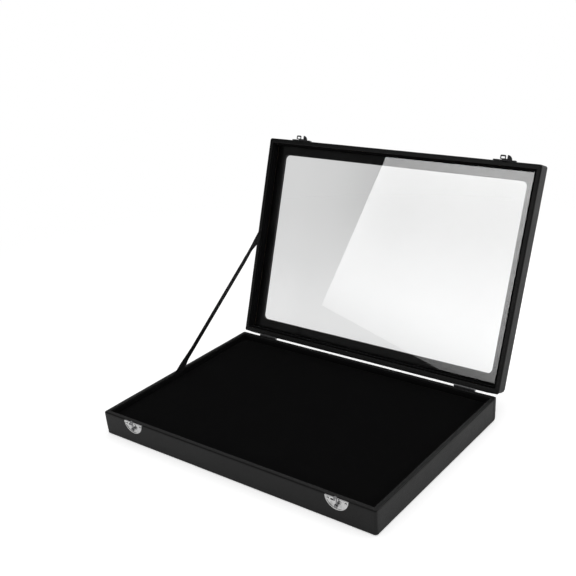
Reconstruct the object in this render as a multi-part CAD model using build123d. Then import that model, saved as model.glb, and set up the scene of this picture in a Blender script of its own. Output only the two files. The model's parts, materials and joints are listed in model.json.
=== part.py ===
from build123d import *
import os

# Pin display case: a shallow leather-covered box with a padded tray, and a hinged lid with a window.
# Millimetres. X runs to the right, Y to the hinges at the back, Z up.
# The origin is the middle of the underside. The lid is modelled closed, then turned open on its hinges.

# ---- The box and its lid, outside ----
case_width = 350.0
case_depth = 240.0
base_height = 27.3
lid_height = 17.4
parting_gap = 0.3  # between the two rims when the lid is shut
lid_open_angle = 109.7  # degrees, where the ribbon stops the lid

# ---- Walls: board wrapped in leather ----
leather = 0.6
wall_board = 3.8
floor_board = 3.0
corner_radius = 2.5  # upright corners, over the leather
rim_radius = 1.5  # outer edge of each rim
face_radius = 2.0  # edges round the underside and round the lid's top
back_radius = 4.5  # the soft long edge at the back, below on the base and above on the lid
well_radius = 1.0  # upright corners inside the rims
fold_radius = 0.4  # inner edge of each rim
base_turn_in = 12.0  # leather folded down inside the base's walls
lid_turn_in = 8.0
bottom_turn_in = 14.0  # leather folded under the base
underside_gap = 0.3  # between that leather and the sheet that covers the middle

# ---- Velvet-covered lining strips ----
lining = 1.6
lining_gap = 0.5  # holds the glue, and the ends of the ribbon
lining_drop = 0.8  # top of the strips below the rim

# ---- Pad ----
pad_drop = 5.0  # top of the pad below the rim
pad_clearance = 0.4
pad_backing = 1.5
velvet = 0.8
pad_radius = 2.0

# ---- Window ----
window_side_margin = 17.0  # from the lid's left and right faces to the window
window_long_margin = 17.5  # from the lid's front and back faces to the window
window_radius = 5.5
frame_board = 3.5
window_turn_in = 11.0  # leather folded under the frame, round the window
pane = 2.0
pane_clearance = 1.1  # to the walls' boards

# ---- Hinges ----
hinge_inset = 39.0  # from the case's side to the middle of the hinge near it
hinge_width = 25.0
knuckle_radius = 1.7
knuckle_count = 5
knuckle_gap = 0.2
hinge_pin_radius = 0.85
pin_clearance = 0.05
leaf = 0.8
leaf_start = 2.2  # from the pin's axis to the edge of the flat leaf
leaf_reach = 10.0  # from the pin's axis to the leaf's far edge
leaf_radius = 1.2
hinge_nail_offset = 8.0
hinge_nail_reach = 6.4

# ---- Latches, measured from where the middle of the parting gap crosses the front wall ----
latch_inset = 44.0  # from the case's side to the middle of the latch near it, before the shift
latch_shift = 2.6  # both latches sit this far right of even places
plate_radius = 13.0
plate = 0.8
plate_drop = 0.65  # from the parting plane to the plate's straight edge
border_width = 1.0
border_height = 0.4
slot_left = -6.8
slot_right = -2.2
slot_low = -4.3
slot_high = -2.5
plate_nail_offset = 9.8
plate_nail_drop = 3.7
rivet_x = 0.6
rivet_drop = 7.4
rivet_radius = 1.0
rivet_head_radius = 1.7
rivet_head = 0.8
boss_radius = 2.0
boss_height = 1.4
hook = 1.0
hook_clearance = 0.1
hook_hub_radius = 2.0
arch_height = 0.9  # middle of the hook's arch above the parting plane
arch_radius = 1.9
arch_bore = 0.75
barb_drop = 2.2  # free end of the hook below the parting plane
eye_half_width = 3.1
eye_plate = 0.7
eye_lift = 0.2  # tongue of the lid's eye over the border of the base plate
eye_root = 3.0  # top of the tongue above the parting plane
flange = 0.8
flange_drop = 3.6  # top of the flange below the parting plane
flange_reach = 3.5
flange_radius = 1.2
eye_side_clearance = 0.2  # arch in the flange's eye
eye_depth = 1.9
lip_left = 2.3
lip_radius = 5.5
lip_low = 1.6
lip = 0.9

# ---- Nails ----
nail_radius = 0.75
nail_head_radius = 1.3
nail_head = 0.7
nail_edge = 0.45
nail_depth = 3.6
nail_clearance = 0.03

# ---- Ribbon that stops the lid ----
ribbon = 0.4
ribbon_gap = 0.05
ribbon_width = 10.0
ribbon_bunched_width = 6.7  # between its ends, where it is pulled together
ribbon_taper = 32.0  # length over which each end narrows
ribbon_tail = 10.0  # length of each end past the rim, behind a lining strip
ribbon_base_y = -5.4  # where its middle passes the base's rim
ribbon_lid_y = -4.7  # where its middle passes the lid's rim

# ---- Places worked out from the sizes above ----
half_width = case_width / 2
half_depth = case_depth / 2
lid_low = base_height + parting_gap
lid_high = lid_low + lid_height
parting_z = base_height + parting_gap / 2
hinge_y = half_depth + knuckle_radius
hinge_axis = Axis((0, hinge_y, parting_z), (1, 0, 0))

board_half_width = half_width - leather
board_half_depth = half_depth - leather
bay_half_width = board_half_width - wall_board
bay_half_depth = board_half_depth - wall_board
well_half_width = bay_half_width - leather
well_half_depth = bay_half_depth - leather
lining_half_width = well_half_width - lining_gap
lining_half_depth = well_half_depth - lining_gap
tray_half_width = lining_half_width - lining
tray_half_depth = lining_half_depth - lining
pad_half_width = tray_half_width - pad_clearance
pad_half_depth = tray_half_depth - pad_clearance

floor_top = leather + floor_board
pad_top = base_height - pad_drop
frame_low = lid_high - leather - frame_board
pane_top = frame_low - leather
pane_low = pane_top - pane
window_half_width = half_width - window_side_margin
window_half_depth = half_depth - window_long_margin
knuckle = (hinge_width - (knuckle_count - 1) * knuckle_gap) / knuckle_count
beyond = 5.0  # how far a cut runs past the surface that it opens


def block(x0, x1, y0, y1, z0, z1):
    """A box between two opposite corners."""
    return Pos((x0 + x1) / 2, (y0 + y1) / 2, (z0 + z1) / 2) * Box(x1 - x0, y1 - y0, z1 - z0)


def middle_block(half_x, half_y, z0, z1, corner=0.0):
    """A box about the Z axis, with its upright corners rounded if a radius is given."""
    outline = RectangleRounded(2 * half_x, 2 * half_y, corner) if corner > 0 else Rectangle(2 * half_x, 2 * half_y)
    return Pos(0, 0, z0) * extrude(outline, z1 - z0)


def eased(radius, corner):
    """A radius for the edge that runs round an upright corner, which has to stay inside that corner's radius."""
    return min(radius, 0.9 * corner)


def soft_block(half_x, half_y, z0, z1, corner, low_edge, high_edge):
    """A box about the Z axis with rounded corners, and rounded edges below and above."""
    solid = middle_block(half_x, half_y, z0, z1, corner)
    solid = fillet(solid.faces().sort_by(Axis.Z)[0].edges(), eased(low_edge, corner))
    return fillet(solid.faces().sort_by(Axis.Z)[-1].edges(), eased(high_edge, corner))


def back_corner(half_y, edge_z, inward, radius):
    """What is taken off the long back edge at height edge_z to round it; inward is +1 below and -1 above."""
    past = radius + beyond
    low, high = sorted((edge_z - inward * beyond, edge_z + inward * radius))
    corner = block(-case_width, case_width, half_y - radius, half_y + past, low, high)
    roll = Pos(0, half_y - radius, edge_z + inward * radius) * Rot(0, 90, 0) * Cylinder(radius, 3 * case_width)
    return corner - roll


def strips(half_x, half_y, thickness, z0, z1):
    """Four upright strips that line a rectangle from the inside: the long two full, the short two between them."""
    inner_x = half_x - thickness
    inner_y = half_y - thickness
    return {
        "front": block(-half_x, half_x, -half_y, -inner_y, z0, z1),
        "back": block(-half_x, half_x, inner_y, half_y, z0, z1),
        "left": block(-half_x, -inner_x, -inner_y, inner_y, z0, z1),
        "right": block(inner_x, half_x, -inner_y, inner_y, z0, z1),
    }


def opened(shape):
    """A piece of the closed lid, turned to where the ribbon holds it."""
    return shape.rotate(hinge_axis, -lid_open_angle)


def front_frame(x):
    """The frame of a latch: X to the right, Y up from the parting plane, Z out of the front wall."""
    return Plane(origin=(x, -half_depth, parting_z), x_dir=(1, 0, 0), z_dir=(0, -1, 0))


def back_frame(x):
    """The frame of a hinge: X to the left, Y up from the parting plane, Z out of the back wall."""
    return Plane(origin=(x, half_depth, parting_z), x_dir=(-1, 0, 0), z_dir=(0, 1, 0))


def peg(x, y, low, high, radius):
    """A cylinder along a frame's Z, from low to high."""
    return Pos(x, y, (low + high) / 2) * Cylinder(radius, high - low)


def nail(x, y, seat):
    """A round-headed nail whose head lies on a plate at height seat."""
    head = peg(x, y, seat, seat + nail_head, nail_head_radius)
    head = fillet(head.faces().sort_by(Axis.Z)[-1].edges(), min(nail_edge, 0.9 * nail_head))
    return head + peg(x, y, -nail_depth, seat + nail_head / 2, nail_radius)


def nail_hole(x, y):
    """The hole for a nail, through its plate and into the wall."""
    return peg(x, y, -nail_depth - nail_clearance, beyond, nail_radius + nail_clearance)


# ---- Places of the nails ----
hinge_places = {"left": hinge_inset - half_width, "right": half_width - hinge_inset}
latch_places = {"left": latch_inset - half_width + latch_shift, "right": half_width - latch_inset + latch_shift}


def hinge_nail_spots(side):
    """Where a leaf's nails are in a hinge's frame; side is -1 for the base's leaf and +1 for the lid's."""
    return [(-hinge_nail_offset, side * hinge_nail_reach), (hinge_nail_offset, side * hinge_nail_reach)]


def latch_nail_spots(side):
    """Where a plate's nails are in a latch's frame; side is -1 for the base's plate and +1 for the lid's."""
    return [(-plate_nail_offset, side * plate_nail_drop), (plate_nail_offset, side * plate_nail_drop)]


rivet_hole = peg(rivet_x, -rivet_drop, -nail_depth - nail_clearance, beyond, rivet_radius + nail_clearance)


def wall_holes(side):
    """Every hole in the walls of the base (side -1) or the lid (side +1), as one group of cylinders."""
    holes = []
    for x in hinge_places.values():
        holes += [back_frame(x) * nail_hole(*spot) for spot in hinge_nail_spots(side)]
    for x in latch_places.values():
        holes += [front_frame(x) * nail_hole(*spot) for spot in latch_nail_spots(side)]
        if side < 0:
            holes.append(front_frame(x) * rivet_hole)
    return holes


def without(shape, cuts):
    """A shape with each of the cuts taken out of it."""
    for cut in cuts:
        shape = shape - cut
    return shape


# ---- Base: boards ----
board_corner = corner_radius - leather
board_back_radius = min(back_radius - leather, wall_board - 0.2)


def base_boards():
    """The outside shape of the base's walls, as one block of board."""
    solid = soft_block(
        board_half_width, board_half_depth, leather, base_height - leather,
        board_corner, face_radius - leather, rim_radius - leather,
    )
    return solid - back_corner(board_half_depth, leather, 1, board_back_radius)


def base_walls():
    """The four wall boards of the base, with their nail holes."""
    whole = base_boards()
    walls = strips(board_half_width, board_half_depth, wall_board, leather, base_height - leather)
    return {name: without(whole & wall, wall_holes(-1)) for name, wall in walls.items()}


def base_leather():
    """Leather over the walls' outside and rim, folded down inside and under the base."""
    cover = soft_block(half_width, half_depth, 0, base_height, corner_radius, face_radius, rim_radius)
    cover -= back_corner(half_depth, 0, 1, back_radius)
    fold_low = base_height - base_turn_in
    well = middle_block(well_half_width, well_half_depth, fold_low, base_height + beyond, well_radius)
    cover -= well
    rim_edges = cover.faces().sort_by(Axis.Z)[-1].inner_wires()[0].edges()
    cover = fillet(rim_edges, min(fold_radius, 0.9 * leather))
    cover -= middle_block(bay_half_width, bay_half_depth, leather, fold_low)
    hole_x = half_width - bottom_turn_in
    hole_y = half_depth - bottom_turn_in
    cover -= middle_block(hole_x, hole_y, -beyond, leather, well_radius)
    walls = base_boards() - middle_block(bay_half_width, bay_half_depth, 0, base_height)
    return without(cover - walls, wall_holes(-1))


def underside_sheet():
    """Thin sheet that closes the underside inside the folded leather."""
    sheet_x = half_width - bottom_turn_in - underside_gap
    sheet_y = half_depth - bottom_turn_in - underside_gap
    return middle_block(sheet_x, sheet_y, 0, leather, well_radius)


# ---- Pad ----
def pad_parts():
    """Backing board, foam and the velvet over both."""
    core_x = pad_half_width - velvet
    core_y = pad_half_depth - velvet
    core_top = pad_top - velvet
    core_radius = pad_radius - velvet
    backing = middle_block(core_x, core_y, floor_top, floor_top + pad_backing, core_radius)
    core = middle_block(core_x, core_y, floor_top, core_top, core_radius)
    core = fillet(core.faces().sort_by(Axis.Z)[-1].edges(), eased(core_radius, core_radius))
    cover = middle_block(pad_half_width, pad_half_depth, floor_top, pad_top, pad_radius)
    cover = fillet(cover.faces().sort_by(Axis.Z)[-1].edges(), eased(pad_radius, pad_radius))
    foam = core - block(-case_width, case_width, -case_depth, case_depth, 0, floor_top + pad_backing)
    return {"pad_backing_board": backing, "pad_foam_core": foam, "pad_velvet_cover": cover - core}


# ---- Lid, closed ----
def lid_boards():
    """The outside shape of the lid's walls and frame, as one block of board."""
    solid = soft_block(
        board_half_width, board_half_depth, lid_low + leather, lid_high - leather,
        board_corner, rim_radius - leather, face_radius - leather,
    )
    return solid - back_corner(board_half_depth, lid_high - leather, -1, board_back_radius)


def lid_walls():
    """The four wall boards of the lid, with their nail holes."""
    whole = lid_boards()
    walls = strips(board_half_width, board_half_depth, wall_board, lid_low + leather, frame_low)
    return {name: without(whole & wall, wall_holes(1)) for name, wall in walls.items()}


def lid_frame():
    """The board that lies on the lid's walls, with the window cut in it."""
    board = lid_boards() & middle_block(half_width, half_depth, frame_low, lid_high)
    hole_radius = window_radius + leather
    return board - middle_block(
        window_half_width + leather, window_half_depth + leather, frame_low - beyond, lid_high, hole_radius
    )


def lid_leather():
    """Leather over the lid's outside, its rim and the edge of the window, folded in at both."""
    cover = soft_block(half_width, half_depth, lid_low, lid_high, corner_radius, rim_radius, face_radius)
    cover -= back_corner(half_depth, lid_high, -1, back_radius)
    fold_high = lid_low + lid_turn_in
    well = middle_block(well_half_width, well_half_depth, lid_low - beyond, fold_high, well_radius)
    cover -= well
    rim_edges = cover.faces().sort_by(Axis.Z)[0].inner_wires()[0].edges()
    cover = fillet(rim_edges, min(fold_radius, 0.9 * leather))
    cover -= middle_block(bay_half_width, bay_half_depth, fold_high, pane_top)
    cover -= middle_block(window_half_width, window_half_depth, pane_top - beyond, lid_high + beyond, window_radius)
    window_edges = cover.faces().sort_by(Axis.Z)[-1].inner_wires()[0].edges()
    cover = fillet(window_edges, min(fold_radius, 0.9 * leather))
    flap_x = window_half_width + window_turn_in
    flap_y = window_half_depth + window_turn_in
    bay = middle_block(bay_half_width, bay_half_depth, pane_top - beyond / 2, frame_low)
    cover -= bay - middle_block(flap_x, flap_y, pane_top - beyond, frame_low + beyond, window_radius)
    walls = lid_boards() - middle_block(bay_half_width, bay_half_depth, lid_low, frame_low)
    window = middle_block(
        window_half_width + leather, window_half_depth + leather, frame_low, lid_high, window_radius + leather
    )
    return without(cover - (walls - window), wall_holes(1))


def window_pane():
    """Clear pane under the frame, held up by the lining strips."""
    pane_x = bay_half_width - pane_clearance
    pane_y = bay_half_depth - pane_clearance
    return middle_block(pane_x, pane_y, pane_low, pane_top)


# ---- Hinges, in a hinge's frame ----
def hinge_leaf(side):
    """One leaf with its knuckles: side -1 is the base's, which holds the pin, and +1 the lid's, which turns on it."""
    half = hinge_width / 2
    low, high = sorted((side * leaf_start, side * leaf_reach))
    flat = block(-half, half, low, high, 0, leaf)
    far = flat.edges().filter_by(Axis.Z).sort_by(Axis.Y)
    flat = fillet(far[:2] if side < 0 else far[-2:], leaf_radius)
    for turn in range(knuckle_count):
        if (turn % 2 == 0) == (side < 0):
            start = -half + turn * (knuckle + knuckle_gap)
            low, high = sorted((0, side * (leaf_start + leaf_radius)))
            flat += block(start, start + knuckle, low, high, 0, leaf)
            flat += Pos(start + knuckle / 2, 0, knuckle_radius) * Rot(0, 90, 0) * Cylinder(knuckle_radius, knuckle)
    bore = hinge_pin_radius if side < 0 else hinge_pin_radius + pin_clearance
    flat -= Pos(0, 0, knuckle_radius) * Rot(0, 90, 0) * Cylinder(bore, 2 * hinge_width)
    return without(flat, [nail_hole(*spot) for spot in hinge_nail_spots(side)])


def hinge_pin():
    """The pin of one hinge, as long as its leaves."""
    return Pos(0, 0, knuckle_radius) * Rot(0, 90, 0) * Cylinder(hinge_pin_radius, hinge_width)


# ---- Latches, in a latch's frame ----
boss_top = plate + boss_height
hook_low = boss_top + hook_clearance
hook_high = hook_low + hook
rivet_seat = hook_high + hook_clearance
eye_low = plate + border_height + eye_lift
eye_high = eye_low + eye_plate


def half_disc(radius, drop, side):
    """Half a disc about the frame's origin, below (side -1) or above (side +1) a straight edge."""
    disc = Circle(radius)
    keep = Pos(0, side * (drop + radius), 0) * Rectangle(2 * radius, 2 * radius)
    return disc & keep


def half_plate(side):
    """A half-round plate with a raised border and its nail holes."""
    solid = extrude(half_disc(plate_radius, plate_drop, side), plate)
    inside = half_disc(plate_radius - border_width, plate_drop + border_width, side)
    border = half_disc(plate_radius, plate_drop, side) - inside
    solid += extrude(border, plate + border_height)
    return without(solid, [nail_hole(*spot) for spot in latch_nail_spots(side)])


def latch_plate():
    """The base's plate, with the boss that the hook turns on and a slot beside it."""
    solid = half_plate(-1) + peg(rivet_x, -rivet_drop, 0, boss_top, boss_radius)
    solid -= block(slot_left, slot_right, slot_low, slot_high, -beyond, beyond)
    return solid - rivet_hole


def latch_hook():
    """A flat lever on the rivet, with an arch at its top that ends in a barb."""
    arm = Pos(rivet_x, -rivet_drop) * Circle(hook_hub_radius)
    arm_width = arch_radius - arch_bore
    arm += Pos(arch_bore + arm_width / 2, (arch_height - rivet_drop) / 2) * Rectangle(arm_width, arch_height + rivet_drop)
    arch = Circle(arch_radius) & (Pos(0, arch_radius) * Rectangle(2 * arch_radius, 2 * arch_radius))
    arm += Pos(0, arch_height) * arch
    arm += Pos(-arch_bore - arm_width / 2, (arch_height - barb_drop) / 2) * Rectangle(arm_width, arch_height + barb_drop)
    arm -= Pos(0, arch_height) * Circle(arch_bore)
    arm -= Pos(rivet_x, -rivet_drop) * Circle(rivet_radius + pin_clearance)
    return Pos(0, 0, hook_low) * extrude(arm, hook)


def latch_rivet():
    """The rivet that the hook turns on, set through the plate into the wall."""
    shank = peg(rivet_x, -rivet_drop, -nail_depth, rivet_seat, rivet_radius)
    head = peg(rivet_x, -rivet_drop, rivet_seat, rivet_seat + rivet_head, rivet_head_radius)
    return shank + fillet(head.faces().sort_by(Axis.Z)[-1].edges(), min(nail_edge, 0.9 * rivet_head))


def catch_plate():
    """The lid's plate: a tongue that hangs over the base's plate to an eye for the hook, and a lip for a finger."""
    solid = half_plate(1)
    solid += block(-eye_half_width, eye_half_width, plate_drop, eye_root, 0, eye_high)
    flange_low = -flange_drop - flange
    solid += block(-eye_half_width, eye_half_width, flange_low, eye_root, eye_low, eye_high)
    eye = block(-eye_half_width, eye_half_width, flange_low, -flange_drop, eye_low, eye_high + flange_reach)
    eye = fillet(eye.edges().filter_by(Axis.Y).sort_by(Axis.Z)[-2:], flange_radius)
    solid += eye
    eye_x = arch_radius + eye_side_clearance
    solid -= block(-eye_x, eye_x, flange_low - beyond, -flange_drop + 0.01, eye_high, eye_high + eye_depth)
    quarter = Circle(lip_radius) & (Pos(lip_radius / 2, lip_radius / 2) * Rectangle(lip_radius, lip_radius))
    wing = Pos(lip_left, lip_low, plate) * Rot(-90, 0, 0) * (Rot(0, 0, -90) * extrude(quarter, lip))
    root = block(lip_left, lip_left + lip_radius, lip_low, lip_low + lip, 0, plate)
    return solid + wing + root


# ---- Ribbon ----
def ribbon_stay():
    """Ribbon held tight from the base's left wall to the lid's, with its ends behind the lining strips."""
    outer_x = -well_half_width + ribbon_gap
    side_plane = Plane(origin=(outer_x, 0, 0), x_dir=(0, 1, 0), z_dir=(1, 0, 0))
    pivot = Vector(0, hinge_y, parting_z)
    held = Vector(0, ribbon_lid_y, lid_low) - pivot
    held = pivot + held.rotate(Axis.X, -lid_open_angle)
    base_pass = Vector(ribbon_base_y, base_height)
    lid_pass = Vector(held.Y, held.Z)
    along = (lid_pass - base_pass).normalized()
    side = Vector(-along.Y, along.X)
    start = base_pass - along * ribbon_tail
    end = lid_pass + along * ribbon_tail
    wide = side * (ribbon_width / 2)
    narrow = side * (ribbon_bunched_width / 2)
    upper = [start + wide, start + along * ribbon_taper + narrow, end - along * ribbon_taper + narrow, end + wide]
    lower = [end - wide, end - along * ribbon_taper - narrow, start + along * ribbon_taper - narrow, start - wide]
    outline = make_face(Polyline(*[(corner.X, corner.Y) for corner in upper + lower], close=True))
    return extrude(side_plane * outline, ribbon)


# ---- Everything, by node ----
nodes = {}
for name, wall in base_walls().items():
    nodes[f"base_wall_{name}"] = wall
nodes["base_floor_board"] = middle_block(bay_half_width, bay_half_depth, leather, floor_top)
nodes["base_leather_cover"] = base_leather()
nodes["base_underside_sheet"] = underside_sheet()
for name, strip in strips(lining_half_width, lining_half_depth, lining, floor_top, base_height - lining_drop).items():
    nodes[f"base_lining_{name}"] = strip
nodes.update(pad_parts())
nodes["ribbon_stay"] = ribbon_stay()

for name, wall in lid_walls().items():
    nodes[f"lid_wall_{name}"] = opened(wall)
nodes["lid_frame_board"] = opened(lid_frame())
nodes["lid_leather_cover"] = opened(lid_leather())
nodes["window_pane"] = opened(window_pane())
for name, strip in strips(lining_half_width, lining_half_depth, lining, lid_low + lining_drop, pane_low).items():
    nodes[f"lid_lining_{name}"] = opened(strip)

base_hinge_nails = []
lid_hinge_nails = []
for name, x in hinge_places.items():
    nodes[f"hinge_base_leaf_{name}"] = back_frame(x) * hinge_leaf(-1)
    nodes[f"hinge_pin_{name}"] = back_frame(x) * hinge_pin()
    nodes[f"hinge_lid_leaf_{name}"] = opened(back_frame(x) * hinge_leaf(1))
    base_hinge_nails += [back_frame(x) * nail(*spot, leaf) for spot in hinge_nail_spots(-1)]
    lid_hinge_nails += [opened(back_frame(x) * nail(*spot, leaf)) for spot in hinge_nail_spots(1)]
nodes["hinge_base_nails"] = Compound(base_hinge_nails)
nodes["hinge_lid_nails"] = Compound(lid_hinge_nails)

latch_nails = []
catch_nails = []
for name, x in latch_places.items():
    nodes[f"latch_plate_{name}"] = front_frame(x) * latch_plate()
    nodes[f"latch_rivet_{name}"] = front_frame(x) * latch_rivet()
    nodes[f"latch_hook_{name}"] = front_frame(x) * latch_hook()
    nodes[f"catch_plate_{name}"] = opened(front_frame(x) * catch_plate())
    latch_nails += [front_frame(x) * nail(*spot, plate) for spot in latch_nail_spots(-1)]
    catch_nails += [opened(front_frame(x) * nail(*spot, plate)) for spot in latch_nail_spots(1)]
nodes["latch_plate_nails"] = Compound(latch_nails)
nodes["catch_plate_nails"] = Compound(catch_nails)

os.makedirs("parts", exist_ok=True)
for name, shape in nodes.items():
    export_step(shape, f"parts/{name}.step")
print(len(nodes), "nodes written")
print("hinge axis y", hinge_y, "z", parting_z)
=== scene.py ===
# %% [markdown]
# # A display case for enamel pins
#
# This lesson dresses a case that already exists as solids: thin boards, leather, a foam pad, a clear
# pane, two hinges and two hook latches. The solids stay where they are and keep the size true. Here
# they get the things that make them look real: soft leather with a grain, velvet, glass, bright
# metal, and light.
#
# Everything is in one frame, in metres: X to the right, Y to the back, Z up, and the table at zero.

import json
import math

import bmesh
import bpy
from mathutils import Matrix, Vector, noise

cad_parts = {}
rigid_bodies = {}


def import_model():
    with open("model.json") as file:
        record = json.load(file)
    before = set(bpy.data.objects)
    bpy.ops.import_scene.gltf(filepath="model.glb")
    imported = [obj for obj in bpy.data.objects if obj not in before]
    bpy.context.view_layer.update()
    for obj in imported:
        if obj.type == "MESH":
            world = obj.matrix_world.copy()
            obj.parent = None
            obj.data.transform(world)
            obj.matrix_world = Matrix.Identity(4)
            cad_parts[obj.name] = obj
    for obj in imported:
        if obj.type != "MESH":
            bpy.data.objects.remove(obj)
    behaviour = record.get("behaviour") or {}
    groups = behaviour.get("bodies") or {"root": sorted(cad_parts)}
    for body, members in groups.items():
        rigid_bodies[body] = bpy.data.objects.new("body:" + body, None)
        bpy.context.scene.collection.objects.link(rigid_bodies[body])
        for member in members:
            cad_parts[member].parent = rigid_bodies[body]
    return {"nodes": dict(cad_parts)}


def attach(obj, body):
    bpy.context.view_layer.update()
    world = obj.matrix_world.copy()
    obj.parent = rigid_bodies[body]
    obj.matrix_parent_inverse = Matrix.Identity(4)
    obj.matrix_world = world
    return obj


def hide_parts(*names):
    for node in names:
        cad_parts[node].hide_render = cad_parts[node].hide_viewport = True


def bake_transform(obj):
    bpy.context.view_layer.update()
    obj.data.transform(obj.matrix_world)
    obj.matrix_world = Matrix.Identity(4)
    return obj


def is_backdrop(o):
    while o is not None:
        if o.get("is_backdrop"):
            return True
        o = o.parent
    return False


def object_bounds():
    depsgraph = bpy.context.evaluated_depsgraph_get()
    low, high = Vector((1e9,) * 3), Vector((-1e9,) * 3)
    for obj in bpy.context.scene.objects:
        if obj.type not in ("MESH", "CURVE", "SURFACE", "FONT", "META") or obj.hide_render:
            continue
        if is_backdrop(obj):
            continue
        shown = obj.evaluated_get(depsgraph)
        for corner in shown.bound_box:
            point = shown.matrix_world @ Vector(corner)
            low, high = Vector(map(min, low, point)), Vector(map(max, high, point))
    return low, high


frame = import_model()
solids = frame["nodes"]
solid_low, solid_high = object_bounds()
print("size in mm:", [round(1000 * side, 1) for side in solid_high - solid_low])

# %% [markdown]
# ## Camera
#
# The case stands open on a table and is seen from its front right corner, from above. A camera that
# looks down makes upright edges lean together. The lens is long, and it is shifted up, as on a view
# camera, so that the lid stays tall in the frame.
#
# The camera comes first, because every finish is judged through it.

# %% Camera
scene = bpy.context.scene
camera_data = bpy.data.cameras.new("camera")
camera_data.sensor_width = 36.0
camera_data.lens = 55.17
camera_data.shift_x = -0.0082
camera_data.shift_y = 0.1510
camera_data.clip_end = 100.0
camera = bpy.data.objects.new("camera", camera_data)
camera.location = (0.5196, -0.6490, 0.4874)
camera.rotation_euler = [math.radians(angle) for angle in (62.899, 3.764, 36.944)]
scene.collection.objects.link(camera)
scene.camera = camera
scene.view_settings.view_transform = "Standard"
print("lens in mm:", round(camera_data.lens, 2), "shift up:", round(camera_data.shift_y, 3))

# %% [markdown]
# ## A small language for shaders
#
# A finish is a tree of nodes. Wiring every Math node by hand hides the idea, so `Value` wraps one
# output socket and lets Python's own operators make the nodes: `1 - mask * 0.5` adds a Multiply and
# a Subtract. The reflected forms, such as `__rsub__`, are what lets the number come first.

# %% Value
def plug(value, slot):
    """Sets a socket from a number or colour, or links it from a Value."""
    if isinstance(value, Value):
        slot.id_data.links.new(value.socket, slot)
    elif isinstance(value, (tuple, list)) and slot.type == "RGBA" and len(value) == 3:
        slot.default_value = (*value, 1.0)
    else:
        slot.default_value = value


class Value:
    """One output socket. Python's operators on it add Math nodes."""

    def __init__(self, socket):
        self.socket = socket

    def math(self, operation, *others):
        made = self.socket.id_data.nodes.new("ShaderNodeMath")
        made.operation = operation
        for slot, value in zip(made.inputs, others):
            plug(value, slot)
        return Value(made.outputs[0])

    def __add__(self, other):
        return self.math("ADD", self, other)

    def __sub__(self, other):
        return self.math("SUBTRACT", self, other)

    def __rsub__(self, other):
        return self.math("SUBTRACT", other, self)

    def __mul__(self, other):
        return self.math("MULTIPLY", self, other)

    def __abs__(self):
        return self.math("ABSOLUTE", self)

    def most(self, other):
        return self.math("MAXIMUM", self, other)

    def least(self, other):
        return self.math("MINIMUM", self, other)

    __radd__ = __add__
    __rmul__ = __mul__


reflected = [name.strip("_") for name in vars(Value) if name.startswith("__r")]
print("a number may come first in:", reflected)

# %% [markdown]
# `Finish` owns a tree of nodes, of a material, a lamp or the world. Its one method `node` makes
# every kind of node that isn't maths: it takes the node's type, then its settings, and then what
# goes into its sockets. The short methods under it are the words that the finishes below are
# written in: a cloud of noise, a field of pebbles, a soft step, a relief.

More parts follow.
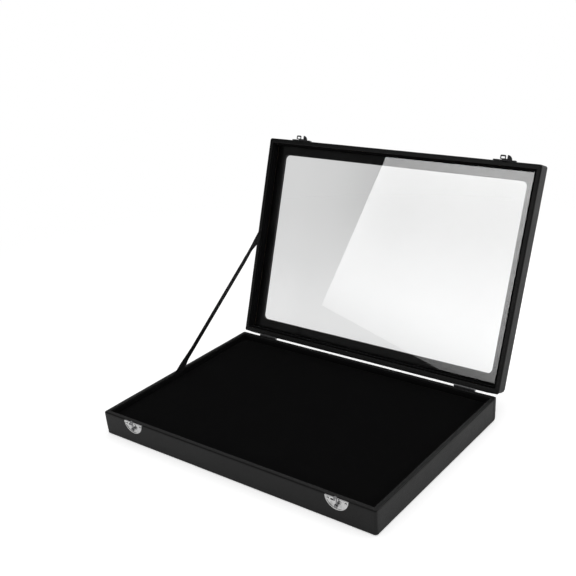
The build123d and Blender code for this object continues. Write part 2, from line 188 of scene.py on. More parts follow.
# %% Finish
class Finish:
    """A node tree that is built one named node at a time."""

    def __init__(self, name=None, tree=None):
        self.material = None
        if tree is None:
            self.material = bpy.data.materials.new(name)
            self.material.use_nodes = True
            tree = self.material.node_tree
        tree.nodes.clear()
        self.tree = tree

    def node(self, kind, settings=None, sockets=None, output=0):
        """Makes a node of a kind, sets its settings and then its sockets, and gives one output."""
        made = self.tree.nodes.new("ShaderNode" + kind)
        for name, setting in (settings or {}).items():
            if name == "stops":
                ramp = made.color_ramp.elements
                while len(ramp) < len(setting):
                    ramp.new(0.5)
                for stop, (place, shade) in zip(ramp, setting):
                    stop.position = place
                    stop.color = (*shade, 1.0) if isinstance(shade, tuple) else (shade, shade, shade, 1.0)
            else:
                setattr(made, name, setting)
        for name, value in (sockets or {}).items():
            plug(value, made.inputs[name])
        return Value(made.outputs[output]) if made.outputs else None

    def place(self):
        """The point on the object, in its own axes, in metres."""
        return self.node("TexCoord", output="Object")

    def axes(self, point):
        """The three numbers of a point."""
        split = self.node("SeparateXYZ", sockets={0: point})
        return [Value(out) for out in split.socket.node.outputs]

    def cloud(self, point, size, detail=3.0, roughness=0.5):
        """Soft noise whose lumps are about size metres across, from 0 to 1."""
        sockets = {"Vector": point, "Scale": 1.0 / size, "Detail": detail, "Roughness": roughness}
        return self.node("TexNoise", sockets=sockets)

    def cells(self, point, size, feature="F1"):
        """Pebbles about size metres across: the distance from each one's middle, or to its edge."""
        sockets = {"Vector": point, "Scale": 1.0 / size}
        return self.node("TexVoronoi", {"feature": feature}, sockets, "Distance")

    def smooth(self, value, low, high):
        """0 below low, 1 above high, with a soft start and end."""
        sockets = {"Value": value, "From Min": low, "From Max": high}
        return self.node("MapRange", {"interpolation_type": "SMOOTHSTEP"}, sockets)

    def mix(self, share, first, second):
        """A colour between two, by a share from 0 to 1."""
        return self.node("Mix", {"data_type": "RGBA"}, {0: share, 6: first, 7: second}, 2)

    def grey(self, shade, blue):
        """A colour from one number, with its blue a little stronger."""
        return self.node("CombineColor", sockets={"Red": shade, "Green": shade, "Blue": shade * blue})

    def stretched(self, point, x, y, z):
        """The point with its axes stretched, so that a pattern on it gets shorter along them."""
        return self.node("VectorMath", {"operation": "MULTIPLY"}, {0: point, 1: (x, y, z)})

    def sight(self):
        """1 for what the camera sees, also through glass, and 1 for what metal and gloss mirror."""
        paths = self.node("LightPath").socket.node.outputs
        scattered = Value(paths["Diffuse Depth"]).least(1.0)
        bounced = Value(paths["Glossy Depth"]).least(1.0)
        straight = (1 - scattered) * (1 - bounced)
        seen = Value(paths["Is Camera Ray"]).most(Value(paths["Is Transmission Ray"]) * straight)
        return seen, bounced * (1 - scattered)

    def bump(self, height, depth, strength=1.0, under=None):
        """A normal from a height between 0 and 1, for a relief that is depth metres deep."""
        sockets = {"Height": height, "Distance": depth, "Strength": strength}
        if under is not None:
            sockets["Normal"] = under
        return self.node("Bump", sockets=sockets)

    def skin(self, **sockets):
        """The Principled surface, wired to the output."""
        named = {name.replace("_", " "): value for name, value in sockets.items()}
        return self.end(self.node("BsdfPrincipled", sockets=named))

    def end(self, surface, kind="OutputMaterial"):
        """Wires a shader to the tree's output."""
        self.node(kind, sockets={"Surface": surface})
        return self.material


print("a Finish knows:", [name for name in vars(Finish) if not name.startswith("_")])

# %% [markdown]
# ## Studio
#
# A case this dark is shaped by what it mirrors, more than by what falls on it. The table and the
# backdrop are white, and the room on the camera's side is dark. So the leather's right side, which
# mirrors the white table at a shallow angle, is paler than its front.
#
# The room's light is plain and soft. The light paths keep the white for what the camera, metal and
# glass see, and leave the amount of light on the case alone.

# %% Room
world = bpy.data.worlds.new("room")
world.use_nodes = True
scene.world = world
room = Finish(tree=world.node_tree)
direction = room.node("TexCoord", output="Generated")
_, depth, height = room.axes(direction)
seen, mirrored = room.sight()
backdrop = room.smooth(depth, -0.15, 0.25) * (1 - 0.7 * room.smooth(height, 0.15, 0.55))
ROOM_LIGHT = 0.56
DARK_SIDE = 0.06
glimpse = DARK_SIDE + (1 - DARK_SIDE) * backdrop
strength = ROOM_LIGHT + seen * (1 - ROOM_LIGHT) + mirrored * (glimpse - ROOM_LIGHT)
sky = room.node("Background", sockets={"Color": (1.0, 1.0, 1.0), "Strength": strength})
room.end(sky, "OutputWorld")
print("room light:", ROOM_LIGHT, "and its dark side where gloss mirrors it:", DARK_SIDE)

# %% [markdown]
# The table is one large sheet. What the camera sees of it is white, and only near the case is it a
# lit, pale surface, so that it keeps the case's soft shadow.

# %% Table
TABLE_HALF = 9.0
SHADOW_NEAR, SHADOW_FAR = 0.35, 0.9  # the lit table fades to plain white between these distances
table_mesh = bpy.data.meshes.new("table")
sheet = bmesh.new()
bmesh.ops.create_grid(sheet, x_segments=24, y_segments=24, size=TABLE_HALF)
sheet.to_mesh(table_mesh)
sheet.free()
table = bpy.data.objects.new("table", table_mesh)
scene.collection.objects.link(table)
table.location.z = -0.0002

pale = Finish("pale_table")
near = pale.node("VectorMath", {"operation": "LENGTH"}, {0: pale.place()}, "Value")
far = pale.smooth(near, SHADOW_NEAR, SHADOW_FAR)
seen, mirrored = pale.sight()
shown = seen.most(mirrored)
lit = pale.node("BsdfDiffuse", sockets={"Color": (0.80, 0.80, 0.80)})
SEEN_LIFT, MIRRORED_LIFT, MIRRORED_LOSS = 0.58, 0.08, 0.25
lift = pale.node("Emission", sockets={"Strength": seen * SEEN_LIFT + mirrored * MIRRORED_LIFT})
lit_and_lifted = pale.node("AddShader", sockets={0: lit, 1: lift})
white = pale.node("Emission", sockets={"Strength": 1 - MIRRORED_LOSS * mirrored})
whole = pale.node("MixShader", sockets={0: shown * far, 1: lit_and_lifted, 2: white})
table_mesh.materials.append(pale.end(whole))
table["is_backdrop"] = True
print("table:", [round(side, 1) for side in table.dimensions])

# %% [markdown]
# ## Lamps
#
# A softbox is a cloth-covered box with a flash in it. An area lamp of the same size gives the same
# soft edge to a shadow. Its energy is set from the brightness of its surface, because that is what
# gloss shows of it, whatever its size.
#
# The tall softbox at the front left is there for the pane alone: its straight edges cross the glass
# as slanting lines. It stands where the line of sight to the pane bounces to, with one corner and
# two edges given, and light linking keeps it off the black leather. It is brighter at its top than
# at its foot, as a softbox is whose flash sits high. A ray that has gone through both of the pane's
# faces has met the leather behind it, so the lamp is black to that ray.

# %% Tall softbox
def softbox(name, middle, aim, width, height, radiance):
    """A rectangular lamp at a point, facing another, with the brightness of its surface."""
    data = bpy.data.lights.new(name, "AREA")
    data.shape = "RECTANGLE"
    data.size = width
    data.size_y = height
    data.energy = radiance * math.pi * width * height
    lamp = bpy.data.objects.new(name, data)
    facing = (Vector(aim) - Vector(middle)).to_track_quat("-Z", "Y").to_matrix().to_4x4()
    lamp.matrix_world = Matrix.Translation(middle) @ facing
    scene.collection.objects.link(lamp)
    return lamp


BOX_WIDTH, BOX_HEIGHT = 0.95, 0.85
BOX_TOP, BOX_FOOT = 8.95, 2.3
box_corner = Vector((-0.8709, -1.0417, 0.3250))
box_up = Vector((0.3070, 0.3329, 0.8916))
box_right = Vector((0.9273, -0.3154, -0.2015))
box_middle = box_corner + box_right * BOX_WIDTH / 2 + box_up * BOX_HEIGHT / 2
tall = softbox("tall_softbox", box_middle, (0, 0, 0), BOX_WIDTH, BOX_HEIGHT, 1.0)
axes = Matrix((box_right, box_up, box_right.cross(box_up))).transposed().to_4x4()
tall.matrix_world = Matrix.Translation(box_middle) @ axes
tall.data.use_nodes = True
flash = Finish(tree=tall.data.node_tree)
up_the_box = flash.axes(flash.node("NewGeometry", output="Parametric"))[1]
straight_off = (3 - flash.node("LightPath", output="Transmission Depth")).least(1.0).most(0.0)
evenness = flash.smooth(up_the_box, -0.20, 0.16)
brightness = (BOX_FOOT + (BOX_TOP - BOX_FOOT) * up_the_box) * evenness
flash.end(flash.node("Emission", sockets={"Strength": brightness * straight_off}), "OutputLight")
pane_only = bpy.data.collections.new("mirrors_the_softbox")
pane_only.objects.link(solids["window_pane"])
tall.light_linking.receiver_collection = pane_only
print("tall softbox stands at:", [round(side, 2) for side in box_middle])

# %% [markdown]
# Two lamps fill from above and from the right, so that no side is lost. A weak twin of the tall one,
# in the same place, gives the lid's leather rim its soft gleam. The leather is linked to it further
# down, once it is made. Until then the collection of what it lights is empty.

# %% Fill lamps
softbox("top_softbox", (0.1, 0.1, 1.7), (0.0, 0.05, 0.0), 1.5, 1.2, 0.75)
softbox("right_softbox", (1.7, 0.3, 0.9), (0.1, 0.05, 0.05), 1.0, 0.9, 0.6)
LEATHER_GLOW = 0.48
weak = softbox("weak_softbox", box_middle, (0, 0, 0), BOX_WIDTH, BOX_HEIGHT, LEATHER_GLOW)
weak.matrix_world = tall.matrix_world.copy()
weak.light_linking.receiver_collection = bpy.data.collections.new("mirrors_the_weak_softbox")

# %% [markdown]
# Bright metal needs something dark to mirror, or it melts into a white background. A low black card
# stands behind the case for that, as it would in a studio. Only glossy rays meet it, so it takes no
# light away.

# %% Black card
CARD_WIDTH, CARD_HEIGHT = 1.5, 0.30
card_mesh = bpy.data.meshes.new("black_card")
half = CARD_WIDTH / 2
corners = [(-half, 0, 0), (half, 0, 0), (half, 0, CARD_HEIGHT), (-half, 0, CARD_HEIGHT)]
card_mesh.from_pydata(corners, [], [(0, 1, 2, 3)])
card = bpy.data.objects.new("black_card", card_mesh)
card.location = (-0.52, 0.62, 0.0)
card.rotation_euler.z = math.radians(39)
scene.collection.objects.link(card)
felt = Finish("black_felt")
pile = felt.mix(felt.cloud(felt.place(), 0.003), (0.004, 0.004, 0.004), (0.010, 0.010, 0.010))
card_mesh.materials.append(felt.skin(Base_Color=pile))
for ray in ("camera", "diffuse", "transmission", "volume_scatter", "shadow"):
    setattr(card, f"visible_{ray}", False)
card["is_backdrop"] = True
print("black card in metres:", CARD_WIDTH, "by", CARD_HEIGHT)

# %% [markdown]
# ## Measures
#
# These are the sizes that the solids have too. They are in millimetres, as a maker would give them,
# and for the shut case. The lid is made shut and then turned open about the hinges by one matrix.

# %% Measures of the case, in millimetres
MM = 0.001
HALF_WIDTH, HALF_DEPTH = 175.0, 120.0
BASE_TOP = 27.3
LID_LOW, LID_HIGH = 27.6, 45.0
FLAP_LEVEL = 40.45  # the leather flap's face towards the glass
HINGE_Y, HINGE_Z = 121.7, 27.45
OPEN_ANGLE = 109.7
opened = (
    Matrix.Translation((0, HINGE_Y * MM, HINGE_Z * MM))
    @ Matrix.Rotation(-math.radians(OPEN_ANGLE), 4, "X")
    @ Matrix.Translation((0, -HINGE_Y * MM, -HINGE_Z * MM))
)
print("lid stands open by", OPEN_ANGLE, "degrees")

# %% [markdown]
# ## Skins from rings
#
# The leather is one thin sheet that is folded over the walls. It could be cloth that is draped over
# the boards, but a glued cover has no slack, and its section is always the same walk: up the inside
# of the wall, over the rim, down the outside and under the floor. So the skin is made as a stack of
# rings. Each ring is a rectangle with rounded corners, a few millimetres in from the case's faces,
# and neighbouring rings are joined by faces. The last ring joins the first, which gives the sheet
# its thickness.

# %% Rings
CORNER_ROUND = 2.5
OUTSIDE = 2.2  # rings less deep than this are on the outer faces
BACK_ROUNDER = 0.9  # the outer corners at the back are rounder by this much
LARGEST_CORNER = 3.4  # a rounder one would bare the board
POINTS_APART = 5.0
LONG_STEPS, SHORT_STEPS = round(2 * HALF_WIDTH / POINTS_APART), round(2 * HALF_DEPTH / POINTS_APART)
CORNER_STEPS = 6


def ring(side, front, back, height, radius):
    """Points of a rounded rectangle, side, front and back millimetres in from the case's faces."""
    points = []
    back_radius = radius
    if side < OUTSIDE and radius < LARGEST_CORNER:
        back_radius = min(LARGEST_CORNER, radius + BACK_ROUNDER * (radius / CORNER_ROUND) ** 2)
    half_x, low_y, high_y = HALF_WIDTH - side, front - HALF_DEPTH, HALF_DEPTH - back
    corners = [(-half_x, low_y, 180), (half_x, low_y, 270), (half_x, high_y, 0), (-half_x, high_y, 90)]
    arcs = []
    for x, y, start in corners:
        bend = radius if y == low_y else back_radius
        middle = Vector((x - math.copysign(bend, x), y + (bend if y == low_y else -bend), height))
        turns = [math.radians(start + 90 * step / CORNER_STEPS) for step in range(CORNER_STEPS + 1)]
        arcs.append([middle + bend * Vector((math.cos(turn), math.sin(turn), 0)) for turn in turns])
    for arc, after, count in zip(arcs, arcs[1:] + arcs[:1], [LONG_STEPS, SHORT_STEPS] * 2):
        points += arc
        points += [arc[-1].lerp(after[0], step / count) for step in range(1, count)]
    return points


def joined(rings, around=True):
    """All points, and the faces between neighbouring rings; around also joins the last to the first."""
    count = len(rings[0])
    faces = []
    pairs = [(row, row + 1) for row in range(len(rings) - 1)] + ([(len(rings) - 1, 0)] if around else [])
    for row, after in pairs:
        for step in range(count):
            ahead = (step + 1) % count
            here, there = row * count, after * count
            faces.append((here + step, here + ahead, there + ahead, there + step))
    return [point for points in rings for point in points], faces


print("points in a ring:", len(ring(0, 0, 0, 0, CORNER_ROUND)))

# %% [markdown]
# Every piece that is built from points goes through one helper. It turns the faces outwards, shades
# them smooth except at sharp turns, and hands the piece to the body that it moves with.

# %% Pieces
SHARP_TURN = 42.0


def new_piece(name, points, faces, finish, body, place=Matrix.Identity(4)):
    """A mesh from points in millimetres, smooth except at sharp turns, riding on a body."""
    mesh = bpy.data.meshes.new(name)
    mesh.from_pydata([point * MM for point in points], [], faces)
    mesh.validate()
    tidy = bmesh.new()
    tidy.from_mesh(mesh)
    bmesh.ops.recalc_face_normals(tidy, faces=tidy.faces)
    tidy.to_mesh(mesh)
    tidy.free()
    mesh.shade_smooth()
    mesh.set_sharp_from_angle(angle=math.radians(SHARP_TURN))
    mesh.materials.append(finish)
    made = bpy.data.objects.new(name, mesh)
    made.matrix_world = place
    scene.collection.objects.link(made)
    if body:
        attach(made, body)
    return made


print("turns sharper than", SHARP_TURN, "degrees stay sharp")

# %% [markdown]
# ## Black leatherette
#
# The cover is a thin plastic-coated cloth with a pressed grain of small pebbles. Three things make
# it read as leather: the grain, as bump; the polish, which is a little higher on the pebbles than in
# the creases between them; and a slow cloudiness, because the sheet was rolled and glued by hand.
#
# The strip round the walls ends near a back corner, where it laps over itself. That lap is a step
# in the bump, and the dark line along its edge is painted shade of the gap under the lapped edge.
# On the lid, hands rub the rim smooth, and the flap that is glued against the glass is pressed flat
# and shiny, with less grain.

# %% Leatherette
def leatherette(name, lap=None, rim=None, flap=None):
    """Pebbled black sheet. In metres, lap is how far back the strip ends on the right side, and rim and
    flap are the heights of the rubbed rim and of the flap against the glass."""
    made = Finish(name)
    point = made.place()
    stretch = made.stretched(point, 1.0, 1.0, 1.15)
    wander = made.node("TexNoise", None, {"Vector": point, "Scale": 420.0, "Detail": 2.0}, "Color")
    nudge = made.node("VectorMath", {"operation": "SCALE"}, {0: wander, "Scale": 0.0009})
    uneven = made.node("VectorMath", {"operation": "ADD"}, {0: stretch, 1: nudge})
    pebbles = made.smooth(made.cells(uneven, 0.00125, "DISTANCE_TO_EDGE"), 0.0, 0.32)
    pores = made.cloud(point, 0.0004, 2.0)
    clouds = made.cloud(point, 0.035, 4.0)
    grain = pebbles * 0.75 + pores * 0.25
    waves = made.cloud(point, 0.016, 2.0)
    # The creases between the pebbles are darker than their tops: painted shade in the grain's hollows.
    shade = 0.0042 + 0.0030 * pebbles + 0.003 * (clouds - 0.5)
    worn = 0.46 - 0.07 * pebbles + 0.16 * (clouds - 0.5)
    if rim:
        side, depth, height = made.axes(point)
        worn = worn - 0.14 * (1 - made.smooth(abs(height - rim), 0.0002, 0.0006))
        level = 1 - made.smooth(abs(height - flap), 0.0008, 0.0014)
        within = 1 - made.smooth(abs(side), 0.1688, 0.1695)
        pressed = level * within * (1 - made.smooth(abs(depth), 0.1138, 0.1145))
        worn = worn * (1 - pressed) + 0.28 * pressed
        waves = waves * (1 - 0.85 * pressed)
        grain = grain * (1 - 0.6 * pressed)
    slow = made.bump(waves, 0.00035, 0.5, made.bump(grain, 0.00011, 0.55))
    if lap:
        side, depth, _ = made.axes(point)
        on_side = made.smooth(side, 0.1735, 0.1745)
        edge = made.smooth(depth, lap - 0.0003, lap + 0.0003)
        slow = made.bump((1 - edge) * on_side, 0.0006, 1.0, slow)
        # The dark line along the lap's edge is painted shade, of the gap under the lapped edge.
        line = (1 - made.smooth(abs(depth - lap), 0.0003, 0.0009)) * on_side
        shade = shade * (1 - 0.8 * line)
        worn = worn + 0.4 * line
    colour = made.grey(shade, 1.03)
    return made.skin(Base_Color=colour, Roughness=worn, Normal=slow, Specular_IOR_Level=0.36)


base_leather = leatherette("base_leather", lap=0.1125)
lid_leather = leatherette("lid_leather", flap=FLAP_LEVEL * MM, rim=LID_LOW * MM)
print("leather finishes:", base_leather.name, lid_leather.name)

# %% [markdown]
# Both covers pass over a rim in the same way: a small fold at the well, a flat top, and a rounder
# outer edge. Along the hinges the lid's leather is gathered into a soft bead, which nearly closes
# the slit between the open lid and the base. The bead fades out before the corners.
#
# A station of a section is a tuple: how far the ring lies in from the sides, the front and the back,
# its height, and the radius of its corners, all in millimetres.

# %% Rims of the covers
SIDE_ROUND, BACK_ROUND = 2.0, 4.5
RIM_ROUND, BACK_RIM_ROUND, FOLD_ROUND = 1.5, 0.6, 0.4
BEAD, BEAD_REACH, BEAD_FADE = 1.0, 3.2, 14.0  # how proud, how tall, and how long its ends take to fade
WALL = 5.0  # thickness of a wall with its leather
WELL = 1.0  # radius of the corners inside the walls
SHEET = 0.6  # thickness of the leather
FOLD_STEPS, RIM_STEPS = 4, 6


def inset_at(reach, radius):
    """How far in a rounded edge lies, reach millimetres before its end."""
    inside = max(0.0, radius - reach)
    return radius - math.sqrt(radius * radius - inside * inside)


def bead_at(reach, bead):
    """How far the bead stands out, reach millimetres from the rim."""
    return bead * max(0.0, 1 - (reach / BEAD_REACH) ** 2)


def rim_rings(level, out, bead=0.0):
    """Rings from the well's fold, over the rim and on to the outer face. The wall goes down from the
    rim where out is -1 and up where it is 1, and bead is how proud the bead at the hinges is."""
    rings = []
    for step in range(FOLD_STEPS + 1):
        turn = math.radians(90 * step / FOLD_STEPS)
        deep = WALL - FOLD_ROUND * (1 - math.cos(turn))
        height = level + out * FOLD_ROUND * (1 - math.sin(turn))
        rings.append((deep, deep, deep, height, WELL + WALL - deep))
    for deep in (4.0, 3.4, 2.75, 2.1):
        rings.append((deep, deep, deep, level, 1.2))
    for step in range(RIM_STEPS + 1):
        turn = math.radians(90 * step / RIM_STEPS)
        deep = RIM_ROUND * (1 - math.sin(turn))
        drop = RIM_ROUND * (1 - math.cos(turn))
        back = inset_at(drop, BACK_RIM_ROUND) - bead_at(drop, bead)
        rings.append((deep, deep, back, level + out * drop, CORNER_ROUND - deep))
    return rings


print("rings over a rim:", len(rim_rings(BASE_TOP, -1)))

# %% [markdown]
# The section of the base's cover starts where the leather ends inside the walls, 12 mm down. It
# goes over the rim and down the outside, where the corners get a little rounder towards the table.
# The edge under the back is rounder than the others, because the hinge side is wrapped over a softer
# board. Then it goes in under the floor, and back through the inside of the sheet.

# %% Section of the base's cover
BASE_TURN_IN = 15.3  # the height at which the leather ends inside the base's walls
# How far the rings of a rounded edge are from the face that it leads to.
EDGE_RINGS = (4.5, 3.6, 2.8, 2.0, 1.5, 1.0, 0.6, 0.3, 0.1, 0.0)
base_section = [(WALL, WALL, WALL, height, WELL) for height in (BASE_TURN_IN, 17.5, 20.0, 22.5, 24.8)]
base_section += rim_rings(BASE_TOP, -1)
base_section += [(0, 0, 0, height, CORNER_ROUND) for height in (23.6, 21.0, 18.0, 15.0)]
base_section += [(0, 0, 0, 12.0, 2.6), (0, 0, 0, 9.0, 2.8), (0, 0, 0, 6.6, 3.1)]
for height in EDGE_RINGS:
    deep = inset_at(height, SIDE_ROUND)
    base_section.append((deep, deep, inset_at(height, BACK_ROUND), height, LARGEST_CORNER - deep))
base_section += [(5, 5, 6.5, 0, 0.8), (9, 9, 9.6, 0, 0.6), (14, 14, 14, 0, 0.5), (14, 14, 14, SHEET, 0.5)]
base_section += [(3.2, 3.2, 5.6, SHEET, 0.5), (1.0, 1.0, 2.6, 3.0, 1.2), (SHEET, SHEET, SHEET, 6.6, 1.9)]
base_section += [(SHEET, SHEET, SHEET, 25.5, 1.9), (1.8, 1.8, 1.8, BASE_TOP - SHEET, 0.9)]
base_section += [(4.4, 4.4, 4.4, height, 1.6) for height in (BASE_TOP - SHEET, BASE_TURN_IN)]
print("rings in the base's cover:", len(base_section))

# %% [markdown]
# A flat sheet over board is never quite flat. Slow noise moves each point a tenth of a millimetre
# along its normal. The flap against the glass is pressed, so it hardly moves. The corners get a
# tuck: across the rim, the middle of each rounded corner sinks a little, where two flaps meet.

# %% Covers
WAVES, PRESSED_WAVES = 0.11, 0.01
TUCK = 0.16
corner_gaps = (0, LONG_STEPS, SHORT_STEPS, LONG_STEPS)
corner_middles = {
    sum(corner_gaps[: number + 1]) + number * CORNER_STEPS + CORNER_STEPS // 2 for number in range(4)
}


def covered(name, section, finish, body, rim, place=Matrix.Identity(4)):
    """A leather skin from its section, with slow waves and corner tucks; rim is the height of its rim."""
    points, faces = joined([ring(*station) for station in section])
    count = len(points) // len(section)
    for number, point in enumerate(points):
        if point.y > HALF_DEPTH:
            fade = min(1.0, (HALF_WIDTH - abs(point.x)) / BEAD_FADE)
            point.y = HALF_DEPTH + (point.y - HALF_DEPTH) * fade
        side, _, _, height, _ = section[number // count]
        if abs(height - rim) < 0.3 and side > 1.0 and (number % count) in corner_middles:
            point.z += TUCK * (-1 if rim == BASE_TOP else 1)
    made = new_piece(name, points, faces, finish, None, place)
    vertices = made.data.vertices
    normals = [vertex.normal.copy() for vertex in vertices]
    for vertex, normal in zip(vertices, normals):
        wave = noise.noise(vertex.co * 28.0) + 0.5 * noise.noise(vertex.co * 75.0 + Vector((3, 1, 4)))
        pressed = abs(vertex.co.z - FLAP_LEVEL * MM) < 0.2 * MM
        vertex.co += normal * wave * ((PRESSED_WAVES if pressed else WAVES) * MM)
    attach(made, body)
    return made


base_cover = covered("base_cover", base_section, base_leather, "base", BASE_TOP)
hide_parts("base_leather_cover")
print("base cover:", len(base_cover.data.vertices), "points")

# %% [markdown]
# The lid's cover goes on further: over the top it runs in to the window, down the window's cut edge,
# and a flap of it lies under the frame, against the glass. It is built as the lid lies when shut,
# and the whole piece is then turned about the hinges.

# %% Section of the lid's cover
WINDOW_SIDE, WINDOW_LONG = 17.0, 17.5  # from the lid's faces to the window
WINDOW_ROUND = 5.5
WINDOW_FOLD = 0.6  # radius of the leather's turn into the window
FLAP = 11.0
LID_TURN_IN = 35.6
lid_section = [(WALL, WALL, WALL, height, WELL) for height in (LID_TURN_IN, 33.5, 31.2, 29.4)]
lid_section += rim_rings(LID_LOW, 1, BEAD)
for up in (2.1, 2.7, 3.3, 6.9, 9.9, 11.7):
    lid_section.append((0, 0, -bead_at(up, BEAD), LID_LOW + up, CORNER_ROUND))
for height in EDGE_RINGS:
    deep = inset_at(height, SIDE_ROUND)
    lid_section.append((deep, deep, inset_at(height, BACK_ROUND), LID_HIGH - height, max(0.5, 2.5 - deep)))
for share in (0.25, 0.5, 0.75):
    side, front, back = WINDOW_SIDE - 2.5, WINDOW_LONG - 2.5, WINDOW_LONG - 5.0
    deep = (2.0 + side * share, 2.0 + front * share, 4.5 + back * share)
    lid_section.append((*deep, LID_HIGH, 0.5 + 5.0 * share))


def window_ring(back_off, height, bend):
    """A station that lies back_off outside the window's edge."""
    return (WINDOW_SIDE - back_off, WINDOW_LONG - back_off, WINDOW_LONG - back_off, height, bend)


for step in range(6):
    turn = math.radians(90 * step / 5)
    back_off = WINDOW_FOLD * (1 - math.sin(turn))
    height = LID_HIGH - WINDOW_FOLD * (1 - math.cos(turn))
    lid_section.append(window_ring(back_off, height, WINDOW_ROUND + back_off))
lid_section += [window_ring(0.0, height, WINDOW_ROUND) for height in (43.2, 42.0, 40.9)]
lid_section.append(window_ring(0.3, FLAP_LEVEL + 0.1, WINDOW_ROUND + 0.3))
for back_off, bend in ((0.8, 6.3), (1.2, 6.7), (0.4 * FLAP, 3.4), (0.7 * FLAP, 2.2), (FLAP, 1.0)):
    lid_section.append(window_ring(back_off, FLAP_LEVEL, bend))
lid_section += [(6.0, 6.5, 6.5, 40.9, 1.0), (16.2, 16.7, 16.7, 40.9, 6.0), (16.4, 16.9, 16.9, 44.4, 6.0)]
lid_section += [(3.0, 3.0, 5.6, 44.4, 0.8), (1.0, 1.0, 2.0, 42.2, 1.2), (SHEET, SHEET, SHEET, 39.0, 1.9)]
lid_section += [(SHEET, SHEET, SHEET, 29.4, 1.9), (1.8, 1.8, 1.8, LID_LOW + SHEET, 0.9)]
lid_section += [(4.4, 4.4, 4.4, height, 1.6) for height in (LID_LOW + SHEET, LID_TURN_IN)]
print("rings in the lid's cover:", len(lid_section))

# %% [markdown]
# The cover gets its waves while it still lies shut, and one matrix puts it where the open lid is.
# Now that it is there, the weak softbox gets it as the only thing that it lights.

# %% Lid cover
lid_cover = covered("lid_cover", lid_section, lid_leather, "lid", LID_LOW, opened)
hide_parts("lid_leather_cover")
weak.light_linking.receiver_collection.objects.link(lid_cover)
print("lid cover:", len(lid_cover.data.vertices), "points")

# %% [markdown]
# ## Black velvet
#
# Velvet is a forest of short fibres that stand up. Seen straight on it swallows light, and at a
# shallow angle the fibres' sides catch it, which is what the sheen of the surface shader is for.
# Where the pile was brushed another way it is a shade lighter, in soft patches.

# %% Velvet
def velvet(name, pile, dye):
    """Short black pile: pile is the fibres' spacing in metres, dye the share of light that it returns."""
    made = Finish(name)
    point = made.place()
    brushed = made.cloud(point, 0.06, 3.0, 0.6)
    fibres = made.cloud(point, pile, 2.0, 0.7)
    tufts = made.cells(point, pile * 2.2)
    shade = dye + 0.0010 * brushed + 0.0010 * (fibres - 0.5)
    colour = made.grey(shade, 1.05)
    relief = made.bump(fibres * 0.7 + tufts * 0.3, 0.00022, 0.7)
    return made.skin(
        Base_Color=colour,
        Roughness=0.92 + 0.08 * brushed,
        Normal=relief,
        Specular_IOR_Level=0.05,
        Sheen_Weight=0.012,
        Sheen_Roughness=0.45,
        Sheen_Tint=(0.5, 0.5, 0.52),
    )


pad_velvet = velvet("pad_velvet", 0.00045, 0.0026)
# The lining's dye is over twice the pad's, to make up for the shade that the strips stand in: painted
# light.
lining_velvet = velvet("lining_velvet", 0.0005, 0.0060)
print("velvet finishes:", pad_velvet.name, lining_velvet.name)

# %% [markdown]
# ## The pad
#
# The pad that holds the pins is a slab of foam with velvet drawn over it. The velvet is tight in the
# middle, and the foam pushes it up into a slight crown that rolls over at the edges. It starts as a
# block with rounded edges, which is cut into even small faces, because cloth bends only at its
# points.

# %% Soft slab
def soft_slab(name, half_width, half_depth, low, high, edge, spacing, finish):
    """A block with rounded edges, cut into even small faces, in millimetres."""
    slab = bmesh.new()
    bmesh.ops.create_cube(slab, size=1.0)
    halves = (half_width, half_depth, (high - low) / 2)
    middles = (0.0, 0.0, (low + high) / 2)
    for vertex in slab.verts:
        vertex.co = [2 * half * part + middle for half, part, middle in zip(halves, vertex.co, middles)]
    bmesh.ops.bevel(slab, geom=slab.edges[:], offset=edge, segments=4, profile=0.5, affect="EDGES")
    for axis, half, middle in zip("XYZ", halves, middles):
        across, reach = Vector(float(axis == letter) for letter in "XYZ"), half - edge
        count = max(1, round(2 * reach / spacing))
        for step in range(1, count):
            spot = across * (middle - reach + 2 * reach * step / count)
            whole = slab.verts[:] + slab.edges[:] + slab.faces[:]
            bmesh.ops.bisect_plane(slab, geom=whole, plane_co=spot, plane_no=across, dist=1e-4)
    for vertex in slab.verts:
        vertex.co *= MM
    mesh = bpy.data.meshes.new(name)
    slab.to_mesh(mesh)
    slab.free()
    mesh.materials.append(finish)
    made = bpy.data.objects.new(name, mesh)
    scene.collection.objects.link(made)
    return made


PAD_LOW, PAD_HIGH = 3.6, 22.3
PAD_HALF_WIDTH, PAD_HALF_DEPTH = 167.5, 112.5
PAD_EDGE = 2.0
START_SMALLER = 0.15  # the slab starts this much inside its case
CLOTH_SPACING = 4.5
half_width, half_depth = PAD_HALF_WIDTH - START_SMALLER, PAD_HALF_DEPTH - START_SMALLER
heights = (PAD_LOW, PAD_HIGH - START_SMALLER)
pad = soft_slab("velvet_pad", half_width, half_depth, *heights, PAD_EDGE, CLOTH_SPACING, pad_velvet)
flat_pad = [(vertex.co.copy(), vertex.normal.copy()) for vertex in pad.data.vertices]
print("points in the flat pad:", len(flat_pad))

# %% [markdown] Cloth with a little air pressure inside finds the pad's shape by itself. The slab
# starts slightly small and swells for twenty steps, and no point may move further than the cap, or
# inwards, where the foam is.

# %% Pad
PAD_PRESSURE, PAD_CAP = 4.0, 0.8


def settle(made):
    """Turns a piece's modifiers into its mesh."""
    graph = bpy.context.evaluated_depsgraph_get()
    graph.update()
    done = bpy.data.meshes.new_from_object(made.evaluated_get(graph))
    made.modifiers.clear()
    made.data = done


